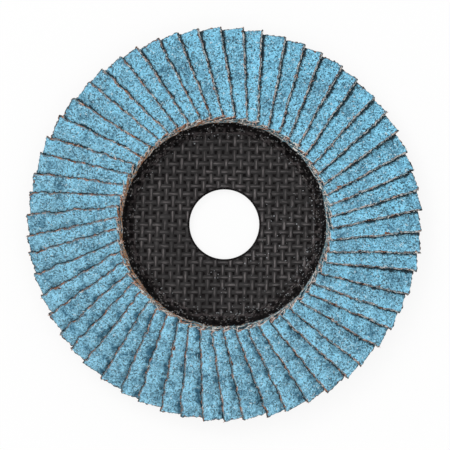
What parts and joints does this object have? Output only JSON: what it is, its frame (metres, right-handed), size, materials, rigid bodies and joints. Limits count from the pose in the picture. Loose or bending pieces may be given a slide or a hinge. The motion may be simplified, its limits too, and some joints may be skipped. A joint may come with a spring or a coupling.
{
  "type": "flap disc",
  "caption": "Round abrasive disc: overlapping cloth flaps glued like roof tiles round a dished, bored backing plate, for an angle grinder.",
  "frame": {"origin": "on the bore's axis, in the hub's back face, which seats on the grinder's flange", "axes": "+Z along the bore towards the abrasive face; +Y is the picture's up and +X its right, seen from +Z"},
  "size_m": [0.1251, 0.125, 0.0158],
  "materials": {
    "abrasive_cloth": "blue abrasive grit in resin on rust-brown woven cloth",
    "glass_mesh_resin": "semi-gloss black phenolic resin over glass-fibre mesh",
    "epoxy": "dark amber, cured"
  },
  "bodies": {
    "root": {"backing_plate": "glass_mesh_resin", "adhesive_bed": "epoxy", "flap_01": "abrasive_cloth", "flap_02": "abrasive_cloth", "flap_03": "abrasive_cloth", "flap_04": "abrasive_cloth", "flap_05": "abrasive_cloth", "flap_06": "abrasive_cloth", "flap_07": "abrasive_cloth", "flap_08": "abrasive_cloth", "flap_09": "abrasive_cloth", "flap_10": "abrasive_cloth", "flap_11": "abrasive_cloth", "flap_12": "abrasive_cloth", "flap_13": "abrasive_cloth", "flap_14": "abrasive_cloth", "flap_15": "abrasive_cloth", "flap_16": "abrasive_cloth", "flap_17": "abrasive_cloth", "flap_18": "abrasive_cloth", "flap_19": "abrasive_cloth", "flap_20": "abrasive_cloth", "flap_21": "abrasive_cloth", "flap_22": "abrasive_cloth", "flap_23": "abrasive_cloth", "flap_24": "abrasive_cloth", "flap_25": "abrasive_cloth", "flap_26": "abrasive_cloth", "flap_27": "abrasive_cloth", "flap_28": "abrasive_cloth", "flap_29": "abrasive_cloth", "flap_30": "abrasive_cloth", "flap_31": "abrasive_cloth", "flap_32": "abrasive_cloth", "flap_33": "abrasive_cloth", "flap_34": "abrasive_cloth", "flap_35": "abrasive_cloth", "flap_36": "abrasive_cloth", "flap_37": "abrasive_cloth", "flap_38": "abrasive_cloth", "flap_39": "abrasive_cloth", "flap_40": "abrasive_cloth", "flap_41": "abrasive_cloth", "flap_42": "abrasive_cloth", "flap_43": "abrasive_cloth", "flap_44": "abrasive_cloth", "flap_45": "abrasive_cloth", "flap_46": "abrasive_cloth", "flap_47": "abrasive_cloth", "flap_48": "abrasive_cloth", "flap_49": "abrasive_cloth", "flap_50": "abrasive_cloth", "flap_51": "abrasive_cloth", "flap_52": "abrasive_cloth", "flap_53": "abrasive_cloth", "flap_54": "abrasive_cloth", "flap_55": "abrasive_cloth", "flap_56": "abrasive_cloth", "flap_57": "abrasive_cloth", "flap_58": "abrasive_cloth"}
  },
  "joints": []
}
